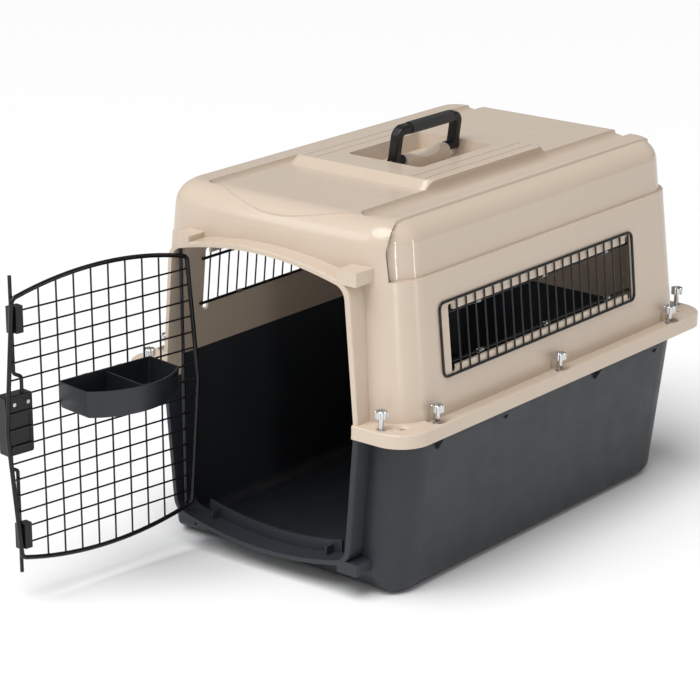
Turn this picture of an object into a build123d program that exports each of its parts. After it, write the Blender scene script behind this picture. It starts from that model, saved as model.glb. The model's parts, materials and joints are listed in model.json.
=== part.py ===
from build123d import *
import os
from math import atan2, cos, degrees, radians, sin, sqrt

# Pet transport carrier: two drafted plastic shells bolted at a flange, a wire door
# with a two-rod squeeze latch and a hang-on twin bowl, two side grilles and a
# fold-down handle.  Millimetres, +Z up, the doorway faces -Y, and the origin is on
# the floor under the middle of the joint flange.

os.makedirs("parts", exist_ok=True)

# ---------------------------------------------------------------- driving dimensions
LENGTH = 711.0              # over the joint flange, front to back
WIDTH = 500.0               # over the joint flange, side to side
FLANGE_CORNER = 45.0
WALL = 4.0                  # moulded wall of both shells

SKIRT_Z = 226.0             # lower edge of the upper shell's flange skirt
PARTING_Z = 236.5           # face where the two shells meet
CHANNEL_Z = 240.5           # floor of the bolt channel in the flange
FLANGE_Z = 244.5            # top of the flange
STEP_Z = 426.0              # ledge below the inset upper panels
ROOF_Z = 500.0
PLATFORM_Z = 512.5          # top of the raised handle platform

ROOF_ROUND = 36.0           # rounding between walls and roof
INSET = 6.0                 # depth of the inset upper panels
INSET_DROP = 3.0            # how far their top lies under the roof
FRONT_BOW = 12.0            # forward bulge of the front wall

OPEN_MID_Z = 238.0          # doorway: widest level, where its sides bend
OPEN_TOP_Z = 441.0
OPEN_HALF_MID = 161.5
OPEN_HALF_END = 146.0       # half width where side meets arch
OPEN_ARCH_R = 540.0
OPEN_CORNER = 20.0
LIP = 7.0                   # thickness of the doorway collar
LIP_Y = -352.0              # front face of the collar

HINGE_X, HINGE_Y = -136.0, -346.0
LATCH_X, LATCH_Y = 139.0, -346.5
DOOR_OPEN_ANGLE = 97.8      # door angle in the stored pose, 0 is closed
RUNNING = 0.08              # radial clearance of everything that turns or slides

FRAME_R = 3.0               # door frame wire
ROD_R = 2.5                 # hinge and latch rods
MESH_R = 1.25               # door mesh wires
FRAME_Y = HINGE_Y + ROD_R + FRAME_R
ACROSS_Y = HINGE_Y + ROD_R + MESH_R
UPRIGHT_Y = ACROSS_Y - 2 * MESH_R
FRAME_HALF_MID = 156.5
FRAME_HALF_END = 141.5
FRAME_TOP_Z = 430.5
ACROSS_COUNT, ACROSS_PITCH = 15, 22.3
UPRIGHT_COUNT, UPRIGHT_PITCH = 8, 27.8

BOLT_SIDE_X = 234.0
BOLT_SIDE_Y = (-272.0, 0.0, 272.0)
BOLT_END_X, BOLT_END_Y = 200.0, 344.0
TIE_X, TIE_Y, TIE_R = 217.0, 321.0, 4.5

WINDOW_Y = (-203.6, 191.3)  # first and last grille wire
WINDOW_Z = (300.0, 373.5)   # opening in the wall
GRILLE_Y = (-240.0, 201.0)
GRILLE_Z = (290.0, 387.0)
GRILLE_COUNT = 21

HANDLE_Y = -1.0             # middle of the handle and its boss
POCKET_Y = -7.5             # middle of the pocket it folds into
HANDLE_AXIS_Z = 506.0
HANDLE_LEAN = 8.5           # lean to +X in the stored pose
HANDLE_HALF = 72.0          # over each leg, from the middle
GRIP_RISE = 44.0            # grip centre above the pivot


# ---------------------------------------------------------------- helpers
def plan(z, half_x, front, back, corner, bow=0.0):
    """Rounded outline of a shell at one height; front and back are distances from X."""
    outline = make_face(Wire([
        Line((half_x, back), (-half_x, back)),
        Line((-half_x, back), (-half_x, -front)),
        ThreePointArc((-half_x, -front), (0, -front - bow), (half_x, -front)) if bow
        else Line((-half_x, -front), (half_x, -front)),
        Line((half_x, -front), (half_x, back)),
    ]))
    return Plane.XY.offset(z) * fillet(outline.vertices(), corner)


def between(low, high, z):
    """Section values at height z on the straight line through two sections."""
    t = (z - low[0]) / (high[0] - low[0])
    return [a + (b - a) * t for a, b in zip(low, high)]


def shrink(section, amount):
    """The same section moved in by a wall thickness."""
    z, half_x, front, back, corner = section
    return [z, half_x - amount, front - amount, back - amount, corner - amount]


def body(sections, bow=0.0):
    return loft([plan(*s, bow=bow) for s in sections], ruled=True)


def block(x, y, z):
    """Box from three (low, high) pairs."""
    size = [b - a for a, b in (x, y, z)]
    centre = [(a + b) / 2 for a, b in (x, y, z)]
    return Pos(*centre) * Box(*size)


def rod(start, end, radius):
    """Straight round bar between two points."""
    start, end = Vector(*start), Vector(*end)
    return extrude(Plane(start, z_dir=end - start) * Circle(radius), (end - start).length)


def bent_rod(points, bend, radius):
    path = FilletPolyline(*points, radius=bend)
    start = Vector(*points[1]) - Vector(*points[0])
    return sweep(Plane(points[0], z_dir=start) * Circle(radius), path=path)


def pair(solid):
    """A part and its mirror image across the middle plane."""
    return [solid, mirror(solid, Plane.YZ)]


def save(name, *solids):
    flat = [s for item in solids for s in (item if isinstance(item, (list, tuple)) else [item])]
    pieces = [p for item in flat for p in item.solids()]
    shape = pieces[0] if len(pieces) == 1 else Compound(children=pieces)
    shape.label = name
    export_step(shape, f"parts/{name}.step")


def barrel(half_mid, half_end, top_z, arch_r, corner, y):
    """Doorway-shaped face in the plane Y=y: bent sides, arched top and bottom."""
    drop = arch_r - sqrt(arch_r ** 2 - half_end ** 2)
    end_z = top_z - drop
    low_z = 2 * OPEN_MID_Z - end_z
    low_tip = 2 * OPEN_MID_Z - top_z
    wire = Wire([
        ThreePointArc((-half_end, end_z), (0, top_z), (half_end, end_z)),
        Line((half_end, end_z), (half_mid, OPEN_MID_Z)),
        Line((half_mid, OPEN_MID_Z), (half_end, low_z)),
        ThreePointArc((half_end, low_z), (0, low_tip), (-half_end, low_z)),
        Line((-half_end, low_z), (-half_mid, OPEN_MID_Z)),
        Line((-half_mid, OPEN_MID_Z), (-half_end, end_z)),
    ])
    face = make_face(wire)
    face = fillet([v for v in face.vertices() if abs(v.Y - OPEN_MID_Z) > 50], corner)
    bends = [v for v in face.vertices() if abs(v.Y - OPEN_MID_Z) < 1]
    face = fillet(bends, 8 * corner)
    return Plane((0, y, 0), x_dir=(1, 0, 0), z_dir=(0, -1, 0)) * face


def doorway_prism(grow, y_from, y_to):
    face = barrel(OPEN_HALF_MID + grow, OPEN_HALF_END + grow, OPEN_TOP_Z + grow,
                  OPEN_ARCH_R + grow, OPEN_CORNER + grow, y_from)
    return extrude(face, y_to - y_from, dir=(0, 1, 0))


def collar():
    """Collar round the doorway with its front edge rounded."""
    prism = doorway_prism(LIP, LIP_Y, -284)
    return fillet(prism.edges().group_by(Axis.Y)[0], 2.5)


def arch_z(x, top_z=OPEN_TOP_Z, arch_r=OPEN_ARCH_R):
    """Height of the doorway's top arch over x."""
    return top_z - arch_r + sqrt(arch_r ** 2 - x ** 2)


# ---------------------------------------------------------------- shell sections
# height, half width, front, back, corner radius
UPPER_LOW = [FLANGE_Z, 222.8, 322.0, 335.0, 58.0]
UPPER_HIGH = [ROOF_Z, 198.4, 311.0, 321.6, 52.0]
LOWER_TOP = [SKIRT_Z, 222.4, 322.0, 335.0, 58.0]
LOWER_BASE = [0.0, 199.5, 322.0, 313.0, 46.0]
BASE_ROUND = 20.0           # along the sides
TOE_ROUND, HEEL_ROUND = 40.0, 48.0
HEEL_Y, HEEL_LEDGE_Z = 311.0, 94.0


def flange_plan(z, inward=0.0):
    corner = FLANGE_CORNER - inward
    return plan(z, WIDTH / 2 - inward, LENGTH / 2 - inward, LENGTH / 2 - inward, corner)


def bolt_places():
    """Bolt axes, each with the radius of the niche that clears a turning nut."""
    sides = [(sx * BOLT_SIDE_X, y, 13.0) for sx in (-1, 1) for y in BOLT_SIDE_Y]
    ends = [(sx * BOLT_END_X, sy * BOLT_END_Y, 16.0) for sx in (-1, 1) for sy in (-1, 1)]
    return sides + ends


def tie_places():
    return [(sx * TIE_X, sy * TIE_Y) for sx in (-1, 1) for sy in (-1, 1)]


# ---------------------------------------------------------------- upper shell
VALLEY_X, VALLEY_R, VALLEY_DEPTH = 130.0, 15.0, 10.0
VALLEY_FRONT, VALLEY_BACK = -274.0, 330.0


def valley(grow):
    """Round-bottomed roof groove beside the raised centre."""
    axis_z = ROOF_Z + VALLEY_R - VALLEY_DEPTH
    groove = rod((VALLEY_X, VALLEY_FRONT, axis_z), (VALLEY_X, VALLEY_BACK, axis_z), VALLEY_R + grow)
    nose = Pos(VALLEY_X, VALLEY_FRONT, axis_z) * Sphere(VALLEY_R + grow)
    return groove + nose


TONGUE_RISE, TONGUE_R = 1.6, 235.0
TONGUE_FRONT, TONGUE_BACK = -318.0, 296.0


def tongue(outer_low, outer_high):
    """Thin raised panel along the roof between the valleys, arched at its front."""
    half = VALLEY_X - 6.0
    shoulder = TONGUE_FRONT + TONGUE_R - sqrt(TONGUE_R ** 2 - half ** 2)
    outline = make_face(Wire([
        ThreePointArc((-half, shoulder), (0, TONGUE_FRONT), (half, shoulder)),
        Line((half, shoulder), (half, TONGUE_BACK)),
        Line((half, TONGUE_BACK), (-half, TONGUE_BACK)),
        Line((-half, TONGUE_BACK), (-half, shoulder)),
    ]))
    prism = extrude(Plane.XY.offset(ROOF_Z - 30) * outline, 60)
    high = shrink(outer_high, -TONGUE_RISE)
    high[0] += TONGUE_RISE
    skin = body([shrink(outer_low, -TONGUE_RISE), high], FRONT_BOW)
    skin = fillet(skin.edges().group_by(Axis.Z)[-1], ROOF_ROUND + TONGUE_RISE)
    return prism & skin


def platform(inward=0.0):
    """Raised block round the handle, sloped at both ends."""
    low = Plane.XY.offset(ROOF_Z - 5 - inward) * Pos(0, -12.5) * RectangleRounded(
        244 - 2 * inward, 293 - 2 * inward, 18 - inward)
    high = Plane.XY.offset(PLATFORM_Z - inward) * Pos(0, -9.5) * RectangleRounded(
        232 - 2 * inward, 255 - 2 * inward, 14 - inward)
    shape = loft([low, high], ruled=True)
    top = shape.edges().group_by(Axis.Z)[-1]
    return fillet(top, 4.0) if inward == 0 else shape


POCKET_HALF_X, POCKET_HALF_Y, POCKET_FLOOR = 63.0, 82.0, 490.0


def pocket(grow):
    """Hollow that the folded handle lies in."""
    low = Plane.XY.offset(POCKET_FLOOR - grow) * Pos(0, POCKET_Y) * RectangleRounded(
        2 * (POCKET_HALF_X - 5 + grow), 2 * (POCKET_HALF_Y - 4 + grow), 8)
    high = Plane.XY.offset(PLATFORM_Z + 1) * Pos(0, POCKET_Y) * RectangleRounded(
        2 * (POCKET_HALF_X + grow), 2 * (POCKET_HALF_Y + grow), 8)
    return loft([low, high], ruled=True)


BOSS_HALF_X, BOSS_HALF_Y = 11.0, 47.0
PIN_R, PIN_REACH = 3.0, 14.0


def saddle_boss():
    """Ridge between the handle legs, dipped in the middle for the fingers."""
    base, crest, dip = POCKET_FLOOR - 1, HANDLE_AXIS_Z + 6.0, HANDLE_AXIS_Z - 3.0
    profile = make_face(Wire([
        Line((-BOSS_HALF_Y, base), (-BOSS_HALF_Y, crest)),
        Line((-BOSS_HALF_Y, crest), (-BOSS_HALF_Y + 14, crest)),
        ThreePointArc((-BOSS_HALF_Y + 14, crest), (0, dip), (BOSS_HALF_Y - 14, crest)),
        Line((BOSS_HALF_Y - 14, crest), (BOSS_HALF_Y, crest)),
        Line((BOSS_HALF_Y, crest), (BOSS_HALF_Y, base)),
        Line((BOSS_HALF_Y, base), (-BOSS_HALF_Y, base)),
    ]))
    lengthwise = extrude(Plane.YZ * profile, BOSS_HALF_X, both=True)
    lengthwise = Pos(0, HANDLE_Y, 0) * lengthwise
    # rounded across: the ridge's section is a tombstone
    reach = BOSS_HALF_Y + 1
    across = block((-BOSS_HALF_X, BOSS_HALF_X), (HANDLE_Y - reach, HANDLE_Y + reach),
                   (base, crest - BOSS_HALF_X))
    across += rod((0, HANDLE_Y - reach, crest - BOSS_HALF_X),
                  (0, HANDLE_Y + reach, crest - BOSS_HALF_X), BOSS_HALF_X)
    return lengthwise & across


def cheek_cutter():
    """Everything outside the inset side and back panels above the ledge."""
    inner_low = between(UPPER_LOW, UPPER_HIGH, STEP_Z)
    inner_high = between(UPPER_LOW, UPPER_HIGH, ROOF_Z - INSET_DROP)
    core = body([shrink(inner_low, INSET), shrink(inner_high, INSET)])
    core = fillet(core.edges().group_by(Axis.Z)[-1], ROOF_ROUND - INSET)
    front_y, turn = -309.0, 40.0
    top = ROOF_Z + 20
    side = make_face(Wire([
        Line((front_y, STEP_Z), (front_y, ROOF_Z - turn)),
        ThreePointArc((front_y, ROOF_Z - turn),
                      (front_y + turn * (1 - sqrt(0.5)), ROOF_Z - turn * (1 - sqrt(0.5))),
                      (front_y + turn, ROOF_Z)),
        Line((front_y + turn, ROOF_Z), (front_y + turn, top)),
        Line((front_y + turn, top), (400, top)),
        Line((400, top), (400, STEP_Z)),
        Line((400, STEP_Z), (front_y, STEP_Z)),
    ]))
    swath = extrude(Plane.YZ * side, 300, both=True)
    kept_roof = block((-172, 172), (-400, 296), (ROOF_Z - 45, top + 1))
    return swath - kept_roof - core


WALL_SLOPE = (UPPER_LOW[1] - UPPER_HIGH[1]) / (ROOF_Z - FLANGE_Z)
WALL_TILT = degrees(atan2(UPPER_LOW[1] - UPPER_HIGH[1], ROOF_Z - FLANGE_Z))


def wall_x(z):
    """Outer face of the upper side wall at height z, below the ledge."""
    return UPPER_LOW[1] - WALL_SLOPE * (z - FLANGE_Z)


def window_tool():
    """Both side windows: a rounded slot with a taller slit at each end for the grille."""
    y0, y1 = WINDOW_Y[0] - 17.0, WINDOW_Y[1] + 6.0
    mid_z = sum(WINDOW_Z) / 2
    tall = WINDOW_Z[1] - WINDOW_Z[0]
    face = Pos((y0 + y1) / 2, mid_z) * RectangleRounded(y1 - y0, tall, 5)
    for y in (y0 + 5.5, y1 - 5.5):
        face += Pos(y, mid_z) * RectangleRounded(11, tall + 17, 4)
    return extrude(Plane.YZ * face, 260, both=True)


def flange_top():
    """Flange with its skirt, the bolt channels along the sides and the tie holes."""
    flange = extrude(flange_plan(SKIRT_Z), FLANGE_Z - SKIRT_Z)
    flange = fillet(flange.edges().group_by(Axis.Z)[-1], 2.0)
    flange -= extrude(flange_plan(SKIRT_Z, WALL), PARTING_Z - SKIRT_Z)
    for sx in (-1, 1):
        channel = block((218, 243), (BOLT_SIDE_Y[0] - 11, BOLT_SIDE_Y[2] + 11),
                        (CHANNEL_Z, FLANGE_Z + 1))
        channel = fillet(channel.edges().filter_by(Axis.Z), 8.0)
        flange -= channel if sx > 0 else mirror(channel, Plane.YZ)
    return flange


HINGE_SOCKET = (-144.0, -116.0)
LATCH_SOCKET = (133.5, 166.0)


def socket_block(x, z, y_back):
    """Block on the collar that holds the end of a rod."""
    return fillet(block(x, (LIP_Y, y_back), z).edges().filter_by(Axis.Y), 1.5)


def upper_shell():
    outer = body([between(UPPER_LOW, UPPER_HIGH, PARTING_Z), UPPER_HIGH], FRONT_BOW)
    outer = fillet(outer.edges().group_by(Axis.Z)[-1], ROOF_ROUND)
    outer -= window_tool()
    outer -= cheek_cutter()
    outer += tongue(between(UPPER_LOW, UPPER_HIGH, PARTING_Z), UPPER_HIGH)
    outer += platform()
    outer += flange_top()
    outer += collar() & block((-300, 300), (-400, 0), (PARTING_Z, 600))
    outer += socket_block(HINGE_SOCKET, (426.0, 443.5), -312.0)
    outer += socket_block(LATCH_SOCKET, (426.0, 445.0), -312.0)

    inner_low = shrink(between(UPPER_LOW, UPPER_HIGH, SKIRT_Z - 1), WALL)
    inner_high = shrink(between(UPPER_LOW, UPPER_HIGH, ROOF_Z - WALL), WALL)
    inner = body([inner_low, inner_high], FRONT_BOW)
    inner = fillet(inner.edges().group_by(Axis.Z)[-1], ROOF_ROUND - WALL)
    step_low = shrink(between(UPPER_LOW, UPPER_HIGH, STEP_Z - WALL), INSET + WALL)
    step_high = shrink(between(UPPER_LOW, UPPER_HIGH, ROOF_Z - INSET_DROP - WALL), INSET + WALL)
    inset_inner = body([step_low, step_high])
    inset_inner = fillet(inset_inner.edges().group_by(Axis.Z)[-1], ROOF_ROUND - INSET - WALL)
    below_step = block((-300, 300), (-400, 400), (200, STEP_Z - WALL))
    front_room = block((-300, 300), (-400, -300), (200, 600))
    top_room = block((-168, 168), (-400, 290), (200, 600))
    inner = (inner & (below_step + front_room + top_room)) + (inner & inset_inner)
    inner += platform(WALL) & block((-200, 200), (-300, 300), (ROOF_Z - 12, 600))
    inner -= pocket(WALL)
    for groove in pair(valley(WALL)):
        inner -= groove

    shell = outer - inner
    for groove in pair(valley(0)):
        shell -= groove
    shell -= pocket(0)
    shell += saddle_boss()
    shell -= doorway_prism(0, LIP_Y - 20, -280)
    shell -= block((-400, 400), (-400, 400), (0, SKIRT_Z))
    # the lower shell's collar and body fill the space under the parting face
    shell -= extrude(flange_plan(SKIRT_Z - 1, WALL), PARTING_Z - SKIRT_Z + 1)
    shell -= doorway_prism(LIP + 0.3, LIP_Y - 0.3, -300) & block(
        (-300, 300), (-400, 0), (SKIRT_Z - 1, PARTING_Z))
    for x, y, niche in bolt_places():
        shell -= Pos(x, y, CHANNEL_Z + 15) * Cylinder(niche, 30) & block(
            (-400, 400), (-400, 400), (FLANGE_Z if abs(x) < 220 else CHANNEL_Z, 300))
        shell -= Pos(x, y, PARTING_Z) * Cylinder(BOLT_R + 0.3, 40)
    for x, y in tie_places():
        shell -= Pos(x, y, PARTING_Z) * Cylinder(TIE_R, 40)
        shell -= Pos(x, y, FLANGE_Z - 1.5) * Cone(TIE_R, TIE_R + 4.5, 3.0)
    for x in (83.0, 102.5):
        for cut in pair(block((x - 0.6, x + 0.6), (-131, 110), (PLATFORM_Z - 0.8, PLATFORM_Z + 1))):
            shell -= cut
    shell -= rod((HINGE_X, HINGE_Y, 400), (HINGE_X, HINGE_Y, 439.0), ROD_R + RUNNING)
    shell -= rod((LATCH_X, LATCH_Y, 400), (LATCH_X, LATCH_Y, 442.5), ROD_R + RUNNING)
    for sy in (-1, 1):
        shell -= rod((0, HANDLE_Y + sy * (BOSS_HALF_Y + 2), HANDLE_AXIS_Z),
                     (0, HANDLE_Y + sy * (BOSS_HALF_Y - PIN_REACH - 1), HANDLE_AXIS_Z),
                     PIN_R + RUNNING)
    return shell


# ---------------------------------------------------------------- lower shell
def grip_rail(y_low, y_high):
    """Raised strip under the skirt with a triangular web at each end."""
    rail = block((215, 227.5), (y_low, y_high), (207, PARTING_Z - WALL))
    for y, reach in ((y_low + 3, 244.0), (y_high, 238.0)):
        web = make_face(Polyline((215, 196), (223, 199), (reach, PARTING_Z - WALL),
                                 (215, PARTING_Z - WALL), close=True))
        rail += Plane.XZ.offset(-y) * extrude(web, 3)
    return rail


def sill():
    """Curved threshold strip just inside the doorway, on two ribs."""
    half, rise = 116.0, 17.0
    outer_r = OPEN_ARCH_R - rise
    centre_z = 2 * OPEN_MID_Z - OPEN_TOP_Z + OPEN_ARCH_R
    ring = Plane.XZ.offset(316) * Pos(0, centre_z) * (Circle(OPEN_ARCH_R + 3) - Circle(outer_r))
    strip = extrude(ring, 4) & block((-half, half), (-330, -300), (0, 120))
    for x in (-100, 100):
        low = centre_z - sqrt(OPEN_ARCH_R ** 2 - x ** 2)
        strip += block((x - 1.5, x + 1.5), (-334, -316), (low - 3, low + rise - 5))
    return strip


def side_view(inward):
    """Prism across X with the lower shell's rounded toe, rounded heel and heel ledge."""
    toe_y, heel_y, base = -(LOWER_BASE[2] - inward), HEEL_Y - inward, inward
    toe, heel = TOE_ROUND - inward, HEEL_ROUND - inward
    ledge, cut = HEEL_LEDGE_Z + inward, 1 - sqrt(0.5)
    outline = make_face(Wire([
        Line((toe_y, 300), (toe_y, base + toe)),
        ThreePointArc((toe_y, base + toe), (toe_y + toe * cut, base + toe * cut), (toe_y + toe, base)),
        Line((toe_y + toe, base), (heel_y - heel, base)),
        ThreePointArc((heel_y - heel, base), (heel_y - heel * cut, base + heel * cut),
                      (heel_y, base + heel)),
        Line((heel_y, base + heel), (heel_y, ledge)),
        Line((heel_y, ledge), (400, ledge)),
        Line((400, ledge), (400, 300)),
        Line((400, 300), (toe_y, 300)),
    ]))
    return extrude(Plane.YZ * outline, 300, both=True)


def lower_shell():
    outer = body([LOWER_BASE, between(LOWER_BASE, LOWER_TOP, PARTING_Z)])
    outer = fillet(outer.edges().group_by(Axis.Z)[0], BASE_ROUND)
    outer = outer & side_view(0)
    flange = extrude(flange_plan(PARTING_Z - WALL, WALL + 0.5), WALL)
    outer += flange
    outer += collar() & block((-300, 300), (-400, 0), (0, PARTING_Z))
    outer += socket_block(HINGE_SOCKET, (36.0, 53.0), -300.0)
    outer += socket_block(LATCH_SOCKET, (36.0, 53.0), -300.0)
    for rail in pair(grip_rail(-255, -102)) + pair(grip_rail(105, 258)):
        outer += rail

    inner = body([shrink(between(LOWER_BASE, LOWER_TOP, z), WALL) for z in (WALL, PARTING_Z + 2)])
    inner = fillet(inner.edges().group_by(Axis.Z)[0], BASE_ROUND - WALL)
    inner = inner & side_view(WALL)
    shell = outer - inner
    shell -= doorway_prism(0, LIP_Y - 20, -270)
    shell += sill()
    for x, y, _ in bolt_places():
        shell -= Pos(x, y, PARTING_Z) * Cylinder(BOLT_R + 0.3, 40)
    for x, y in tie_places():
        shell -= Pos(x, y, PARTING_Z) * Cylinder(TIE_R, 40)
    shell -= rod((HINGE_X, HINGE_Y, 39.0), (HINGE_X, HINGE_Y, 80), ROD_R + RUNNING)
    shell -= rod((LATCH_X, LATCH_Y, 40.5), (LATCH_X, LATCH_Y, 80), ROD_R + RUNNING)
    return shell


# ---------------------------------------------------------------- flange fasteners
NUT_R, NUT_TALL, NECK_R, NECK_TALL, FLUTES = 8.4, 9.5, 3.6, 15.5, 8
BOLT_R = 2.5


def hand_nut():
    """Hand nut: fluted cap with a dished top on a round neck, bored for its bolt."""
    cap = Circle(NUT_R)
    for i in range(FLUTES):
        a = radians(360 / FLUTES * (i + 0.5))
        cap -= Pos((NUT_R + 1.0) * cos(a), (NUT_R + 1.0) * sin(a)) * Circle(2.0)
    head = extrude(Plane.XY.offset(NECK_TALL) * cap, NUT_TALL)
    head = chamfer(head.edges().group_by(Axis.Z)[-1], 0.7)
    head -= Pos(0, 0, NECK_TALL + NUT_TALL) * Cylinder(4.6, 2.4)
    nut = head + Cylinder(NECK_R, NECK_TALL, align=(Align.CENTER, Align.CENTER, Align.MIN))
    return nut - Pos(0, 0, 8) * Cylinder(BOLT_R, 16)


def fasteners():
    nuts, washers, bolts = [], [], []
    for x, y, _ in bolt_places():
        seat = CHANNEL_Z if abs(x) > 220 else FLANGE_Z
        washer = Cylinder(6.0, 0.8, align=(Align.CENTER, Align.CENTER, Align.MIN)) - Cylinder(BOLT_R + 0.2, 4)
        washers.append(Pos(x, y, seat) * washer)
        nuts.append(Pos(x, y, seat + 0.8) * hand_nut())
        head_z = PARTING_Z - WALL - 3.0
        shank = Cylinder(BOLT_R, seat + 0.8 + 16.0 - head_z - 3.0, align=(Align.CENTER, Align.CENTER, Align.MIN))
        head = extrude(RegularPolygon(5.0, 6), 3.0)
        bolts.append(Pos(x, y, head_z) * (Pos(0, 0, 3.0) * shank + head))
    return nuts, washers, bolts


# ---------------------------------------------------------------- door, built closed
def door_frame_path():
    """Closed loop of the frame wire: the barrel outline."""
    return barrel(FRAME_HALF_MID, FRAME_HALF_END, FRAME_TOP_Z, OPEN_ARCH_R, 9.0, FRAME_Y).wire()


def door_frame():
    path = door_frame_path()
    start = path @ 0.3
    return sweep(Plane(start, z_dir=path % 0.3) * Circle(FRAME_R),
                 path=path, transition=Transition.ROUND)


def frame_half(z):
    """Half width of the frame's centreline at height z."""
    end_z = arch_z(FRAME_HALF_END, FRAME_TOP_Z)
    t = abs(z - OPEN_MID_Z) / (end_z - OPEN_MID_Z)
    return FRAME_HALF_MID + (FRAME_HALF_END - FRAME_HALF_MID) * t


def mesh_wires(frame):
    across, upright = [], []
    for i in range(ACROSS_COUNT):
        z = OPEN_MID_Z + (i - (ACROSS_COUNT - 1) / 2) * ACROSS_PITCH
        half = frame_half(z) - 0.5
        across.append(rod((-half, ACROSS_Y, z), (half, ACROSS_Y, z), MESH_R) - frame)
    for i in range(UPRIGHT_COUNT):
        x = (i - (UPRIGHT_COUNT - 1) / 2) * UPRIGHT_PITCH
        top = arch_z(x, FRAME_TOP_Z)
        upright.append(rod((x, UPRIGHT_Y, 2 * OPEN_MID_Z - top), (x, UPRIGHT_Y, top), MESH_R))
    return across, upright


GUIDE_UPPER_Z, GUIDE_LOWER_Z = (366.0, 401.0), (75.5, 109.5)


def rod_guide(z_low, z_high, wires):
    """Moulded guide clipped over two mesh wires beside the frame."""
    outer_x, inner_x = LATCH_X + ROD_R + 2.0, LATCH_X - 13.0
    guide = block((inner_x, LATCH_X - 1.0), (-351.5, -337.5), (z_low, z_high))
    guide += block((inner_x, outer_x), (-351.5, FRAME_Y - FRAME_R - 0.3), (z_low, z_high))
    guide = fillet(guide.edges().filter_by(Axis.Z).group_by(Axis.X)[0], 2.0)
    guide -= rod((LATCH_X, LATCH_Y, z_low - 5), (LATCH_X, LATCH_Y, z_high + 5), ROD_R + RUNNING)
    for wire in wires:
        z = wire.center().Z
        if z_low < z < z_high:
            guide -= rod((120, ACROSS_Y, z), (160, ACROSS_Y, z), MESH_R)
    return guide


# latch: two sliders side by side, each with its rod, spring and finger tab
CASE_X, CASE_Y, CASE_Z = (114.0, 156.0), (-359.5, -343.5), (204.0, 284.0)
CASE_WALL = 2.0
UPPER_SLIDE = dict(x=(117.0, 136.4), z=(240.0, 276.0), rod_x=127.5, tab_z=(262.0, 267.0))
LOWER_SLIDE = dict(x=(137.6, 153.4), z=(212.0, 248.0), rod_x=148.0, tab_z=(220.0, 225.0))
UPPER_TRAVEL, LOWER_TRAVEL = 18.0, 15.0
SLIDE_Y = (-356.9, -346.3)
TAB_FRONT_Y = -366.0
RIVET_X, RIVET_Z = (120.8, 142.2), 271.5


def latch_case():
    """Outer half of the latch housing, open to the door side, slotted for the tabs."""
    case = block(CASE_X, CASE_Y, CASE_Z)
    case = fillet(case.edges().filter_by(Axis.Y), 3.0)
    case -= block((CASE_X[0] + CASE_WALL, CASE_X[1] - CASE_WALL), (CASE_Y[0] + CASE_WALL, CASE_Y[1] + 1),
                  (CASE_Z[0] + CASE_WALL, CASE_Z[1] - CASE_WALL))
    upper_x, lower_x = UPPER_SLIDE["rod_x"], LOWER_SLIDE["rod_x"]
    z0, z1 = UPPER_SLIDE["tab_z"]
    case -= block((upper_x - 3.5, upper_x + 3.5), (CASE_Y[0] - 1, CASE_Y[0] + 4),
                  (z0 - UPPER_TRAVEL - 1, z1 + 1))
    z0, z1 = LOWER_SLIDE["tab_z"]
    case -= block((lower_x - 3.5, lower_x + 3.5), (CASE_Y[0] - 1, CASE_Y[0] + 4),
                  (z0 - 1, z1 + LOWER_TRAVEL + 1))
    case -= rod((upper_x, LATCH_Y, 270), (upper_x, LATCH_Y, 300), ROD_R + RUNNING)
    case -= rod((lower_x, LATCH_Y, 190), (lower_x, LATCH_Y, 215), ROD_R + RUNNING)
    centre = (UPPER_SLIDE["x"][1] + LOWER_SLIDE["x"][0]) / 2
    rib = block((centre - 0.3, centre + 0.3), (CASE_Y[0] + CASE_WALL, -346.0),
                (CASE_Z[0] + CASE_WALL, CASE_Z[1] - CASE_WALL))
    return case + rib


def latch_cover():
    """Inner plate of the housing with a recessed panel and two rivet holes."""
    x = (CASE_X[0] + CASE_WALL + 0.2, CASE_X[1] - CASE_WALL - 0.2)
    plate = block(x, (CASE_Y[1] - 2.0, CASE_Y[1]), (CASE_Z[0] + CASE_WALL + 0.2, CASE_Z[1] - CASE_WALL - 0.2))
    plate -= block((x[0] + 3, x[1] - 12), (CASE_Y[1] - 0.8, CASE_Y[1] + 1), (214, 255))
    for rivet_x in RIVET_X:
        plate -= rod((rivet_x, CASE_Y[1] - 3, RIVET_Z), (rivet_x, CASE_Y[1] + 1, RIVET_Z), 1.5)
    upper_x, lower_x = UPPER_SLIDE["rod_x"], LOWER_SLIDE["rod_x"]
    plate -= rod((upper_x, LATCH_Y, UPPER_SLIDE["z"][1] - UPPER_TRAVEL - 1), (upper_x, LATCH_Y, 300),
                 ROD_R + RUNNING)
    plate -= rod((lower_x, LATCH_Y, 190), (lower_x, LATCH_Y, LOWER_SLIDE["z"][0] + LOWER_TRAVEL + 1),
                 ROD_R + RUNNING)
    return plate


def latch_rivets():
    """Two domed rivets through the cover."""
    rivets = []
    for x in RIVET_X:
        shank = rod((x, CASE_Y[1] - 2.0, RIVET_Z), (x, CASE_Y[1], RIVET_Z), 1.5)
        rivets.append(shank + rod((x, CASE_Y[1], RIVET_Z), (x, CASE_Y[1] + 0.9, RIVET_Z), 2.6))
    return rivets


def latch_slider(slide):
    x, z = slide["x"], slide["z"]
    slider = block(x, SLIDE_Y, z)
    tab_x = slide["rod_x"]
    z0, z1 = slide["tab_z"]
    slider += block((tab_x - 3, tab_x + 3), (CASE_Y[0] - 0.5, SLIDE_Y[0]), (z0, z1))
    tab = block((119.0, 151.5), (TAB_FRONT_Y, CASE_Y[0] - 0.4), (z0, z1))
    slider += fillet(tab.edges().filter_by(Axis.Y), 1.5)
    return slider


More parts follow.
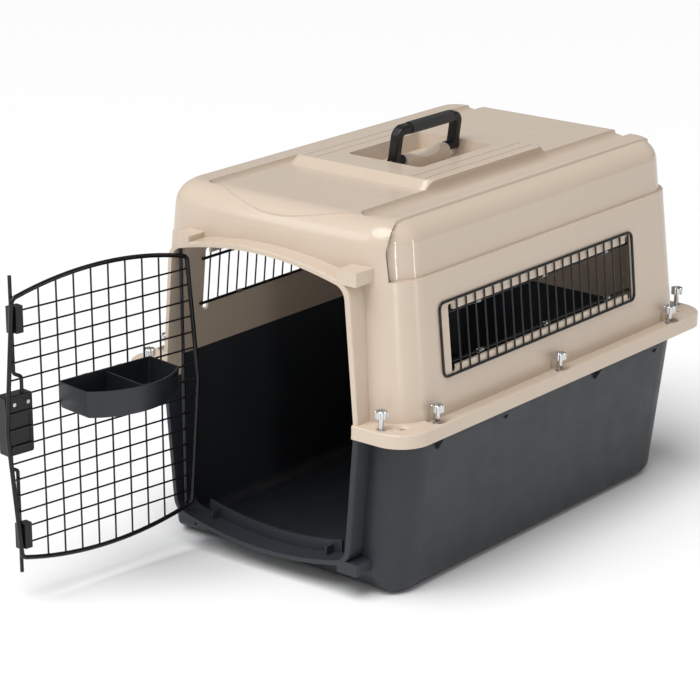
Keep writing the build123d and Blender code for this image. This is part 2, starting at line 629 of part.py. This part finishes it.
def latch_rods():
    """Both rods, jogged from their slider's column to the line of the sockets."""
    ux, lx = UPPER_SLIDE["rod_x"], LOWER_SLIDE["rod_x"]
    upper = bent_rod([(LATCH_X, LATCH_Y, 440.6), (LATCH_X, LATCH_Y, 311.8), (ux, LATCH_Y, 305.8),
                      (ux, LATCH_Y, UPPER_SLIDE["z"][1])], 5.0, ROD_R)
    lower = bent_rod([(LATCH_X, LATCH_Y, 42.0), (LATCH_X, LATCH_Y, 181.5), (lx, LATCH_Y, 186.5),
                      (lx, LATCH_Y, LOWER_SLIDE["z"][0])], 4.0, ROD_R)
    return upper, lower


def latch_spring(x, z_low, z_high):
    """Compression spring lying against the end of a slider."""
    turns, wire, mean = 6, 0.7, 4.0
    height = z_high - z_low - 2 * wire
    path = Helix(pitch=height / turns, height=height, radius=mean)
    coil = sweep(Plane(path @ 0, z_dir=path % 0) * Circle(wire), path=path, is_frenet=True)
    return Pos(x, (SLIDE_Y[0] + SLIDE_Y[1]) / 2, z_low + wire) * coil


# ---------------------------------------------------------------- bowl, on the closed door
BOWL_BACK_Y = ACROSS_Y + MESH_R + 0.5
BOWL_Z = (252.0, 288.5)
BOWL_HALF, BOWL_SIDE, BOWL_BULGE = 76.0, 60.0, 30.0
HOOK_X = 28.0


def bowl_plan(z, inward, back_in):
    half, bulge = BOWL_HALF - inward, BOWL_BULGE
    back, side = BOWL_BACK_Y + back_in, BOWL_BACK_Y + BOWL_SIDE - inward * 0.6
    face = make_face(Wire([
        Line((-half, back), (half, back)),
        Line((half, back), (half, side)),
        ThreePointArc((half, side), (0, side + bulge - inward * 0.4), (-half, side)),
        Line((-half, side), (-half, back)),
    ]))
    return Plane.XY.offset(z) * fillet(face.vertices(), 3.0)


def bowl():
    wall, draft = 2.2, 4.0
    outer = loft([bowl_plan(BOWL_Z[0], draft, 0), bowl_plan(BOWL_Z[1], 0, 0)], ruled=True)
    outer = fillet(outer.edges().group_by(Axis.Z)[0], 2.0)
    hollow = loft([bowl_plan(BOWL_Z[0] + wall, draft + wall, wall + 1),
                   bowl_plan(BOWL_Z[1] + 1, wall, wall)], ruled=True)
    divider = block((-wall / 2, wall / 2), (BOWL_BACK_Y, BOWL_BACK_Y + 84), (BOWL_Z[0] + 1, BOWL_Z[1] - 3))
    hollow -= divider
    seam = rod((0, BOWL_BACK_Y + BOWL_SIDE + BOWL_BULGE + 0.6, BOWL_Z[0] - 2),
               (0, BOWL_BACK_Y + BOWL_SIDE + BOWL_BULGE + 0.6, BOWL_Z[1] + 2), 1.2)
    return outer - hollow - seam


def bowl_hook(x):
    """Hook that drops over one mesh wire; shaped to lift off along the bowl's slide."""
    z = OPEN_MID_Z + 2 * ACROSS_PITCH
    gap, leg, thick = 3.0, 3.0, 1.6
    roof = z + MESH_R + 0.35
    far = ACROSS_Y - gap - thick
    hook = block((x - 5, x + 5), (far, BOWL_BACK_Y), (roof, roof + 2.0))
    hook += block((x - 5, x + 5), (far, far + thick), (z - leg, roof + 2.0))
    return hook


# ---------------------------------------------------------------- side grilles
def on_wall(y, z, out):
    """Point at distance out from the right side wall's outer face."""
    a = radians(WALL_TILT)
    return (wall_x(z) + out * cos(a), y, z + out * sin(a))


GRILLE_R, FINE_R = 1.8, 1.2
CLIP_R = 2.8
RETAINER_IN = -WALL - CLIP_R - 0.02
RETAINER_Z = (WINDOW_Z[0] + 4, WINDOW_Z[1] - 4)


def side_grille():
    """Outer loop of the window grille and its upright wires, all on the right side."""
    out = GRILLE_R + 0.02
    y_mid, z_mid = sum(GRILLE_Y) / 2, sum(GRILLE_Z) / 2
    wall = Plane(on_wall(y_mid, z_mid, out), x_dir=(0, 1, 0),
                 z_dir=(cos(radians(WALL_TILT)), 0, sin(radians(WALL_TILT))))
    outline = RectangleRounded(GRILLE_Y[1] - GRILLE_Y[0],
                               (GRILLE_Z[1] - GRILLE_Z[0]) / cos(radians(WALL_TILT)), 9.0)
    path = (wall * outline).wire()
    loop = sweep(Plane(path @ 0.3, z_dir=path % 0.3) * Circle(GRILLE_R), path=path)
    wires = []
    step = (WINDOW_Y[1] - WINDOW_Y[0]) / (GRILLE_COUNT - 1)
    for i in range(GRILLE_COUNT):
        y = WINDOW_Y[0] + i * step
        wires.append(rod(on_wall(y, GRILLE_Z[0], out), on_wall(y, GRILLE_Z[1], out), FINE_R) - loop)
    return loop, wires


def inner_retainer():
    """Rods inside the wall that the grille is clipped to."""
    bars = []
    for z in RETAINER_Z:
        a, b = on_wall(WINDOW_Y[0] - 26, z, RETAINER_IN), on_wall(WINDOW_Y[1] + 14, z, RETAINER_IN)
        bars.append(rod(a, b, 2.0))
    return bars


def wire_clips():
    """Sleeves crimped on the retainer rods."""
    clips = []
    for z in RETAINER_Z:
        for y in (-150.0, 0.0, 145.0):
            ends = on_wall(y - 5, z, RETAINER_IN), on_wall(y + 5, z, RETAINER_IN)
            clips.append(rod(*ends, CLIP_R) - rod(*ends, 2.0))
    return clips


# ---------------------------------------------------------------- handle, built upright
LEG_TOP = HANDLE_AXIS_Z + GRIP_RISE
GRIP_Y = (HANDLE_Y - 41.0, HANDLE_Y + 50.0)


def handle_frame():
    """U-shaped handle: two legs with pivot collars and a core under the grip."""
    half = HANDLE_HALF - 6.5
    path = [(0, HANDLE_Y - half, HANDLE_AXIS_Z), (0, HANDLE_Y - half, LEG_TOP),
            (0, HANDLE_Y + half, LEG_TOP), (0, HANDLE_Y + half, HANDLE_AXIS_Z)]
    line = FilletPolyline(*path, radius=10.0)
    section = Plane(path[0], x_dir=(1, 0, 0), z_dir=(0, 0, 1)) * RectangleRounded(15.0, 13.0, 3.5)
    frame = sweep(section, path=line)
    low, high = GRIP_Y
    frame -= block((-20, 20), (low, high), (LEG_TOP - 20, LEG_TOP + 20))
    frame += rod((0, low - 1, LEG_TOP), (0, high + 1, LEG_TOP), 5.0)
    for sy in (-1, 1):
        foot = rod((0, HANDLE_Y + sy * HANDLE_HALF, HANDLE_AXIS_Z),
                   (0, HANDLE_Y + sy * (BOSS_HALF_Y + 0.6), HANDLE_AXIS_Z), 7.0)
        frame += foot
        frame -= rod((0, HANDLE_Y + sy * (HANDLE_HALF + 1), HANDLE_AXIS_Z),
                     (0, HANDLE_Y + sy * (BOSS_HALF_Y - 1), HANDLE_AXIS_Z), PIN_R)
    return frame


def grip_sleeve():
    """Fluted soft sleeve on the handle's core."""
    face = Ellipse(9.0, 8.6)
    for i in range(-2, 3):
        a = radians(90 + i * 24)
        face -= Pos(9.6 * cos(a), 9.2 * sin(a)) * Circle(1.1)
        face -= Pos(9.6 * cos(a), -9.2 * sin(a)) * Circle(1.1)
    face -= Circle(5.0)
    sleeve = extrude(Plane.XZ * face, GRIP_Y[1] - GRIP_Y[0])
    return Pos(0, GRIP_Y[1], LEG_TOP) * sleeve


def pivot_pins():
    pins = []
    for sy in (-1, 1):
        pins.append(rod((0, HANDLE_Y + sy * (HANDLE_HALF - 0.5), HANDLE_AXIS_Z),
                        (0, HANDLE_Y + sy * (BOSS_HALF_Y - PIN_REACH), HANDLE_AXIS_Z), PIN_R))
    return pins


# ---------------------------------------------------------------- placing and writing
def opened(shape):
    """Turn a door part from the closed pose to the stored pose."""
    turn = Pos(HINGE_X, HINGE_Y, 0) * Rot(0, 0, -DOOR_OPEN_ANGLE) * Pos(-HINGE_X, -HINGE_Y, 0)
    return [turn * s for s in (shape if isinstance(shape, (list, tuple)) else [shape])]


def leaned(shape):
    """Lean a handle part to the stored pose."""
    turn = Pos(0, 0, HANDLE_AXIS_Z) * Rot(0, HANDLE_LEAN, 0) * Pos(0, 0, -HANDLE_AXIS_Z)
    return [turn * s for s in (shape if isinstance(shape, (list, tuple)) else [shape])]


def write_parts():
    save("upper_shell", upper_shell())
    save("lower_shell", lower_shell())

    nuts, washers, bolts = fasteners()
    save("flange_hand_nuts", nuts)
    save("flange_washers", washers)
    save("flange_bolts", bolts)

    frame = door_frame()
    across, upright = mesh_wires(frame)
    save("door_frame", opened(frame))
    save("door_cross_wires", opened(across))
    save("door_upright_wires", opened(upright))
    save("door_hinge_rod", opened(rod((HINGE_X, HINGE_Y, 39.6), (HINGE_X, HINGE_Y, 438.0), ROD_R)))
    save("upper_rod_guide", opened(rod_guide(*GUIDE_UPPER_Z, across)))
    save("lower_rod_guide", opened(rod_guide(*GUIDE_LOWER_Z, across)))

    save("latch_case", opened(latch_case()))
    save("latch_cover", opened(latch_cover()))
    save("latch_rivets", opened(latch_rivets()))
    upper_rod, lower_rod = latch_rods()
    save("upper_latch_rod", opened(upper_rod))
    save("lower_latch_rod", opened(lower_rod))
    save("upper_latch_slider", opened(latch_slider(UPPER_SLIDE)))
    save("lower_latch_slider", opened(latch_slider(LOWER_SLIDE)))
    upper_spring = latch_spring(UPPER_SLIDE["rod_x"], CASE_Z[0] + CASE_WALL, UPPER_SLIDE["z"][0])
    lower_spring = latch_spring(LOWER_SLIDE["rod_x"], LOWER_SLIDE["z"][1], CASE_Z[1] - CASE_WALL)
    save("upper_latch_spring", opened(upper_spring))
    save("lower_latch_spring", opened(lower_spring))

    save("bowl", opened(bowl()))
    save("bowl_hooks", opened([bowl_hook(-HOOK_X), bowl_hook(HOOK_X)]))

    loop, wires = side_grille()
    for side, flip in (("right", False), ("left", True)):
        place = (lambda s: mirror(s, Plane.YZ)) if flip else (lambda s: s)
        save(f"{side}_grille_frame", place(loop))
        save(f"{side}_grille_wires", [place(w) for w in wires])
        save(f"{side}_grille_retainers", [place(b) for b in inner_retainer()])
        save(f"{side}_grille_clips", [place(c) for c in wire_clips()])

    save("handle_frame", leaned(handle_frame()))
    save("handle_grip", leaned(grip_sleeve()))
    save("handle_pins", leaned(pivot_pins()))


write_parts()
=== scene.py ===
import json
from math import cos, radians, sin

import bpy
from mathutils import Matrix, Vector

# Looks for the pet transport carrier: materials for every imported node, a pale studio
# and a camera at the photographed angle.  Metres, +Z up, doorway towards -Y.

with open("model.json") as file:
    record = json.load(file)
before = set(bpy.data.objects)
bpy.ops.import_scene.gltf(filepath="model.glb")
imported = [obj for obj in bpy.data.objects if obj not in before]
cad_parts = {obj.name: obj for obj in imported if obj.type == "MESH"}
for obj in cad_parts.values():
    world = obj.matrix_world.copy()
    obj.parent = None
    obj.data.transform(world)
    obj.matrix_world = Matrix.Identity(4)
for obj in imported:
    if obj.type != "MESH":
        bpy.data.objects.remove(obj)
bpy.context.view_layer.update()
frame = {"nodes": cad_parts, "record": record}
NODES = frame["nodes"]


# ---------------------------------------------------------------- material helpers
class Shader:
    """A Principled material with object-space textures."""

    def __init__(self, name, base, rough, metallic=0.0):
        self.material = bpy.data.materials.new(name)
        self.material.use_nodes = True
        self.tree = self.material.node_tree
        self.bsdf = self.tree.nodes["Principled BSDF"]
        self.bsdf.inputs["Base Color"].default_value = (*base, 1.0)
        self.bsdf.inputs["Roughness"].default_value = rough
        self.bsdf.inputs["Metallic"].default_value = metallic
        self.coords = self.tree.nodes.new("ShaderNodeTexCoord").outputs["Object"]
        self.height = None

    def link(self, a, b):
        self.tree.links.new(a, b)

    def noise(self, scale, detail=3.0, stretch=(1, 1, 1)):
        """Noise output, scale in cells per metre."""
        mapping = self.tree.nodes.new("ShaderNodeMapping")
        mapping.inputs["Scale"].default_value = stretch
        self.link(self.coords, mapping.inputs["Vector"])
        noise = self.tree.nodes.new("ShaderNodeTexNoise")
        noise.inputs["Scale"].default_value = scale
        noise.inputs["Detail"].default_value = detail
        self.link(mapping.outputs["Vector"], noise.inputs["Vector"])
        return noise.outputs["Fac"]

    def cells(self, scale):
        """Distance to the nearest grain of an etched surface, scale in grains per metre."""
        cells = self.tree.nodes.new("ShaderNodeTexVoronoi")
        cells.inputs["Scale"].default_value = scale
        self.link(self.coords, cells.inputs["Vector"])
        return cells.outputs["Distance"]

    def ramp(self, value, low, high, start=0.0, end=1.0):
        """Maps a texture from start..end to low..high."""
        node = self.tree.nodes.new("ShaderNodeMapRange")
        node.inputs["From Min"].default_value = start
        node.inputs["From Max"].default_value = end
        node.inputs["To Min"].default_value = low
        node.inputs["To Max"].default_value = high
        self.link(value, node.inputs["Value"])
        return node.outputs["Result"]

    def math(self, operation, a, b=0.0):
        node = self.tree.nodes.new("ShaderNodeMath")
        node.operation = operation
        for socket, value in zip(node.inputs, (a, b)):
            if isinstance(value, float):
                socket.default_value = value
            else:
                self.link(value, socket)
        return node.outputs["Value"]

    def axes(self):
        """X, Y and Z of the shaded point in metres."""
        split = self.tree.nodes.new("ShaderNodeSeparateXYZ")
        self.link(self.coords, split.inputs["Vector"])
        return split.outputs

    def tint(self, value, dark, light, start=0.3, end=0.7):
        """Colour variation between two colours."""
        ramp = self.tree.nodes.new("ShaderNodeValToRGB")
        ramp.color_ramp.elements[0].position = start
        ramp.color_ramp.elements[0].color = (*dark, 1.0)
        ramp.color_ramp.elements[1].position = end
        ramp.color_ramp.elements[1].color = (*light, 1.0)
        self.link(value, ramp.inputs["Fac"])
        self.link(ramp.outputs["Color"], self.bsdf.inputs["Base Color"])

    def vary_roughness(self, value, low, high, start=0.3, end=0.7):
        self.link(self.ramp(value, low, high, start, end), self.bsdf.inputs["Roughness"])

    def bump(self, value, distance, strength=1.0):
        """Adds a bump layer, distance in metres."""
        bump = self.tree.nodes.new("ShaderNodeBump")
        bump.inputs["Distance"].default_value = distance
        bump.inputs["Strength"].default_value = strength
        self.link(value, bump.inputs["Height"])
        if self.height is not None:
            self.link(self.height, bump.inputs["Normal"])
        self.height = bump.outputs["Normal"]
        self.link(self.height, self.bsdf.inputs["Normal"])


def scaled(colour, factor):
    return tuple(c * factor for c in colour)


# ---------------------------------------------------------------- materials
LEDGE_Z, PANEL_X, PANEL_Y = 0.4262, 0.176, 0.298     # where the inset upper panels begin


def cream_plastic():
    """Satin moulded polypropylene with a faint orange peel; the inset upper panels are polished."""
    colour = (0.585, 0.482, 0.385)
    m = Shader("cream_plastic", colour, 0.2)
    m.tint(m.noise(3.0, 3.0), scaled(colour, 0.985), scaled(colour, 1.015))
    x, y, z = m.axes()
    panel = m.math("MAXIMUM", m.math("GREATER_THAN", m.math("ABSOLUTE", x), PANEL_X),
                   m.math("GREATER_THAN", y, PANEL_Y))
    panel = m.math("MULTIPLY", panel, m.math("GREATER_THAN", z, LEDGE_Z))
    satin = m.ramp(m.noise(60.0, 4.0), 0.19, 0.27, 0.3, 0.7)
    polish = m.math("MULTIPLY", panel, 0.15)
    m.link(m.math("SUBTRACT", satin, polish), m.bsdf.inputs["Roughness"])
    m.bump(m.noise(190.0, 2.0), 0.00008, 0.3)
    m.bump(m.noise(1900.0, 2.0), 0.00002, 0.3)
    m.bsdf.inputs["Specular IOR Level"].default_value = 0.55
    return m.material


def charcoal_plastic():
    """Matt moulded plastic with a fine etched grain."""
    colour = (0.024, 0.028, 0.034)
    m = Shader("charcoal_plastic", colour, 0.45)
    m.tint(m.noise(9.0, 6.0), scaled(colour, 0.92), scaled(colour, 1.08))
    m.vary_roughness(m.noise(35.0, 5.0), 0.38, 0.5)
    m.bump(m.noise(180.0, 2.0), 0.00015, 0.3)
    m.bump(m.cells(900.0), 0.00008, 0.5)
    m.bsdf.inputs["Specular IOR Level"].default_value = 0.38
    return m.material


def powder_coat():
    """Black powder-coated wire."""
    colour = (0.006, 0.006, 0.007)
    m = Shader("powder_coat", colour, 0.36)
    m.tint(m.noise(45.0, 4.0), scaled(colour, 0.75), scaled(colour, 1.5))
    m.vary_roughness(m.noise(220.0, 3.0), 0.18, 0.28)
    m.bump(m.noise(2400.0, 2.0), 0.00002, 0.4)
    m.bsdf.inputs["Specular IOR Level"].default_value = 0.35
    return m.material


def black_plastic():
    """Black moulded plastic of the handle, the latch and the rod guides."""
    colour = (0.008, 0.008, 0.009)
    m = Shader("black_plastic", colour, 0.42)
    m.tint(m.noise(30.0, 4.0), scaled(colour, 0.8), scaled(colour, 1.4))
    m.vary_roughness(m.noise(90.0, 3.0), 0.28, 0.4)
    m.bump(m.cells(2000.0), 0.00004, 0.5)
    m.bsdf.inputs["Specular IOR Level"].default_value = 0.35
    return m.material


def bowl_plastic():
    """Satin dark plastic of the twin bowl."""
    colour = (0.011, 0.014, 0.018)
    m = Shader("bowl_plastic", colour, 0.4)
    m.tint(m.noise(16.0, 4.0), scaled(colour, 0.85), scaled(colour, 1.25))
    m.vary_roughness(m.noise(70.0, 4.0), 0.34, 0.48)
    m.bump(m.noise(1300.0, 2.0), 0.00005, 0.45)
    return m.material


def grip_rubber():
    """Soft matt sleeve of the grip."""
    colour = (0.009, 0.009, 0.010)
    m = Shader("grip_rubber", colour, 0.62)
    m.tint(m.noise(50.0, 4.0), scaled(colour, 0.8), scaled(colour, 1.35))
    m.bump(m.cells(1100.0), 0.00012, 0.5)
    m.bsdf.inputs["Sheen Weight"].default_value = 0.15
    return m.material


def chrome():
    """Bright plated hand nuts."""
    m = Shader("chrome", (0.60, 0.61, 0.62), 0.12, 1.0)
    m.vary_roughness(m.noise(300.0, 4.0), 0.08, 0.2)
    m.bump(m.noise(900.0, 2.0), 0.00003, 0.4)
    return m.material


def plated_steel():
    """Zinc-plated bolts, washers, rivets, pins, clips and springs."""
    colour = (0.56, 0.57, 0.58)
    m = Shader("plated_steel", colour, 0.3, 1.0)
    m.tint(m.noise(150.0, 5.0), scaled(colour, 0.8), scaled(colour, 1.15))
    m.vary_roughness(m.noise(400.0, 3.0, (1, 1, 6)), 0.22, 0.4)
    m.bump(m.noise(1800.0, 2.0), 0.00003, 0.4)
    return m.material


FINISHES = {
    "cream_shell": cream_plastic, "charcoal_shell": charcoal_plastic,
    "black_wire": powder_coat, "black_plastic": black_plastic, "bowl_plastic": bowl_plastic,
    "grip_rubber": grip_rubber, "chrome_nut": chrome, "plated_steel": plated_steel,
}


def finish_nodes():
    """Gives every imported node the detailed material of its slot."""
    made = {name: make() for name, make in FINISHES.items()}
    for part in frame["record"]["subparts"]:
        node = NODES[part["node"]]
        node.data.materials.clear()
        node.data.materials.append(made[part["material_slot"]])
        for face in node.data.polygons:
            face.material_index = 0


# ---------------------------------------------------------------- studio
AZIMUTH, ELEVATION, ROLL = 39.21, 18.20, -0.075
DISTANCE = 3.66218
LENS, SENSOR_WIDTH = 134.39, 36.0          # millimetres
AIM = Vector((0.0, 0.0, 0.25))
SIDE_STEP, UP_STEP = -0.101634, -0.02729    # how far the camera stands off the aim line
CLIP_END = 50.0
WHITE = (1.0, 1.0, 1.0)
COOL_WHITE = (0.92, 0.96, 1.0)
WORLD_STRENGTH = 0.3
SUN_ENERGY, SUN_SPREAD, SUN_TILT = 2.9, 45, 26      # spread and tilt in degrees
BODY_AIM, CORNER_AIM = (0, -0.2, 0.3), (0.2, -0.3, 0.42)
STRIP_SIZE = (0.12, 0.9)
FLOOR_HALF, FLOOR_SHADE, FLOOR_ROUGHNESS = 12.0, 0.92, 0.6


def camera():
    """Stands the camera where the photograph was taken from."""
    a, e = radians(AZIMUTH), radians(ELEVATION)
    back = Vector((sin(a) * cos(e), -cos(a) * cos(e), sin(e)))
    right = Vector((cos(a), sin(a), 0.0))
    up = back.cross(right)
    turn = Matrix.Rotation(radians(ROLL), 4, "Z")
    axes = Matrix((right, up, back)).transposed().to_4x4()
    data = bpy.data.cameras.new("camera")
    data.lens = LENS
    data.sensor_width = SENSOR_WIDTH
    data.clip_end = CLIP_END
    cam = bpy.data.objects.new("camera", data)
    place = AIM + right * SIDE_STEP + up * UP_STEP + back * DISTANCE
    cam.matrix_world = Matrix.Translation(place) @ axes @ turn
    bpy.context.scene.collection.objects.link(cam)
    bpy.context.scene.camera = cam


def softbox(name, place, aim, size, power, colour=WHITE):
    """A rectangular light turned to its aim point, hidden from the camera."""
    light = bpy.data.lights.new(name, "AREA")
    light.shape = "RECTANGLE"
    light.size, light.size_y = size
    light.energy = power
    light.color = colour
    lamp = bpy.data.objects.new(name, light)
    place = Vector(place)
    turn = (Vector(aim) - place).to_track_quat("-Z", "Y").to_matrix().to_4x4()
    lamp.matrix_world = Matrix.Translation(place) @ turn
    lamp.visible_camera = False
    bpy.context.scene.collection.objects.link(lamp)


def studio():
    """White surroundings, a broad sun, three soft boxes and a pale floor."""
    world = bpy.data.worlds.new("studio")
    world.use_nodes = True
    background = world.node_tree.nodes["Background"]
    background.inputs["Color"].default_value = (*WHITE, 1.0)
    background.inputs["Strength"].default_value = WORLD_STRENGTH
    bpy.context.scene.world = world
    bpy.context.scene.view_settings.view_transform = "Standard"

    overhead = bpy.data.lights.new("overhead", "SUN")
    overhead.energy = SUN_ENERGY
    overhead.angle = radians(SUN_SPREAD)
    sun = bpy.data.objects.new("overhead", overhead)
    sun.matrix_world = Matrix.Rotation(radians(SUN_TILT), 4, "X")
    bpy.context.scene.collection.objects.link(sun)

    softbox("key_left", (-1.6, -2.4, 1.9), BODY_AIM, (1.2, 1.4), 13, COOL_WHITE)
    softbox("strip_corner", (1.50, -1.36, 0.55), CORNER_AIM, STRIP_SIZE, 3.6)
    softbox("strip_side", (2.00, 0.38, 0.50), CORNER_AIM, STRIP_SIZE, 2.8)

    mesh = bpy.data.meshes.new("floor")
    quarters = ((-1, -1), (1, -1), (1, 1), (-1, 1))
    points = [(x * FLOOR_HALF, y * FLOOR_HALF, 0) for x, y in quarters]
    mesh.from_pydata(points, [], [(0, 1, 2, 3)])
    floor = bpy.data.objects.new("floor", mesh)
    finish = Shader("pale_floor", scaled(WHITE, FLOOR_SHADE), FLOOR_ROUGHNESS)
    mesh.materials.append(finish.material)
    bpy.context.scene.collection.objects.link(floor)


finish_nodes()
studio()
camera()
